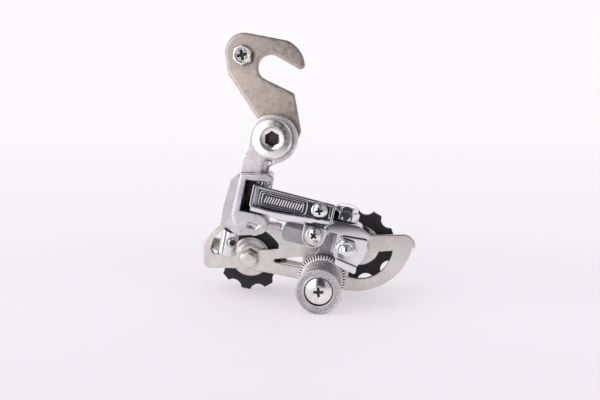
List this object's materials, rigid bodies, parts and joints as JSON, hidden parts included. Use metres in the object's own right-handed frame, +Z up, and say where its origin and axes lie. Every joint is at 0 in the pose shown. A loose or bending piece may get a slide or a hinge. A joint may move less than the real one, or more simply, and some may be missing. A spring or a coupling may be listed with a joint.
{
  "type": "rear bicycle derailleur",
  "caption": "Rear derailleur on a claw hanger, with a swinging link body, a sprung cage, two toothed chain pulleys and a cable clamp.",
  "frame": {"origin": "the hanger bolt's axis where it meets the claw's inboard face", "axes": "+Z up, +X towards the front of the bicycle, +Y inboard towards the wheel"},
  "size_m": [0.1016, 0.0493, 0.1208],
  "materials": {
    "zinc_steel": "satin zinc-plated stamped steel, lightly stained",
    "bright_zinc": "bright zinc-plated machined steel",
    "cast_aluminium": "matte cast alloy with a fine sandy grain",
    "chrome": "mirror chrome on pressed steel",
    "cage_steel": "satin nickel-plated steel with worn edges",
    "black_resin": "matte moulded resin",
    "spring_steel": "oiled spring steel"
  },
  "bodies": {
    "hanger": {"claw_hanger": "zinc_steel", "claw_bolt": "bright_zinc", "claw_nut": "zinc_steel", "hanger_bolt": "bright_zinc", "hanger_washer": "spring_steel"},
    "body": {"body_bracket": "cast_aluminium", "front_outer_pin": "bright_zinc", "front_inner_pin": "bright_zinc", "cable_stop_pin": "bright_zinc", "return_spring": "spring_steel"},
    "cable_stop": {"cable_stop_barrel": "chrome", "cable_ferrule": "bright_zinc"},
    "outer_link": {"outer_link": "chrome", "cable_anchor_bolt": "bright_zinc", "cable_anchor_washer": "chrome", "cable_anchor_nut": "chrome"},
    "inner_link": {"inner_link": "chrome"},
    "high_screw": {"high_limit_screw": "bright_zinc"},
    "low_screw": {"low_limit_screw": "bright_zinc"},
    "knuckle": {"knuckle_casting": "cast_aluminium", "rear_outer_bolt": "chrome", "rear_lock_nut": "chrome", "rear_inner_pin": "bright_zinc"},
    "drum": {"spring_drum": "cast_aluminium", "cage_spring": "spring_steel"},
    "cage": {"cage_outer_plate": "cage_steel", "cage_inner_plate": "cage_steel", "cage_pivot_stud": "bright_zinc", "cage_end_screw": "bright_zinc", "cage_stop_pin": "bright_zinc", "guide_bolt": "bright_zinc", "guide_bush": "bright_zinc", "guide_cap_outer": "cage_steel", "guide_cap_inner": "cage_steel", "tension_bolt": "bright_zinc", "tension_bush": "bright_zinc", "tension_cap_outer": "cage_steel", "tension_cap_inner": "cage_steel"},
    "guide_pulley": {"guide_pulley": "black_resin"},
    "tension_pulley": {"tension_pulley": "black_resin"}
  },
  "joints": [
    {"name": "mount_pivot", "type": "hinge", "parent": "hanger", "child": "body", "pos_m": [0, -0.007, 0], "axis": [0, 1, 0], "range_deg": [-25, 30]},
    {"name": "cable_stop_swivel", "type": "hinge", "parent": "body", "child": "cable_stop", "pos_m": [-0.02121, -0.0044, -0.04664], "axis": [0.2079, 0, 0.9781], "range_deg": [-25, 25]},
    {"name": "link_swing", "type": "hinge", "parent": "body", "child": "outer_link", "pos_m": [-0.0052, -0.0105, -0.0252], "axis": [0.2079, 0, 0.9781], "range_deg": [0, 35], "stiffness_Nm_per_rad": 0.2, "springref_deg": -34.38},
    {"name": "inner_link_swing", "type": "hinge", "parent": "body", "child": "inner_link", "pos_m": [-0.0052, -0.001, -0.0252], "axis": [0.2079, 0, 0.9781], "range_deg": [-1, 36]},
    {"name": "knuckle_swing", "type": "hinge", "parent": "outer_link", "child": "knuckle", "pos_m": [0.03236, -0.0105, -0.03318], "axis": [0.2079, 0, 0.9781], "range_deg": [-36, 1]},
    {"name": "high_limit_travel", "type": "slide", "parent": "outer_link", "child": "high_screw", "axis": [0, -1, 0], "range_m": [0, 0.0025]},
    {"name": "low_limit_travel", "type": "slide", "parent": "outer_link", "child": "low_screw", "axis": [0, -1, 0], "range_m": [0, 0.0025]},
    {"name": "spring_drum_turn", "type": "hinge", "parent": "knuckle", "child": "drum", "pos_m": [0.0215, -0.016, -0.063], "axis": [0, 1, 0], "range_deg": [-60, 60]},
    {"name": "cage_swing", "type": "hinge", "parent": "knuckle", "child": "cage", "pos_m": [0.0215, 0.0065, -0.063], "axis": [0, -1, 0], "range_deg": [0, 100], "stiffness_Nm_per_rad": 0.15, "springref_deg": -85.94},
    {"name": "guide_pulley_spin", "type": "hinge", "parent": "cage", "child": "guide_pulley", "pos_m": [0.0385, 0.013, -0.051], "axis": [0, 1, 0], "continuous": true},
    {"name": "tension_pulley_spin", "type": "hinge", "parent": "cage", "child": "tension_pulley", "pos_m": [-0.014, 0.013, -0.0578], "axis": [0, 1, 0], "continuous": true}
  ],
  "couplings": [
    {"joint": "inner_link_swing", "follows": "link_swing", "ratio": 1},
    {"joint": "knuckle_swing", "follows": "link_swing", "ratio": -1}
  ]
}
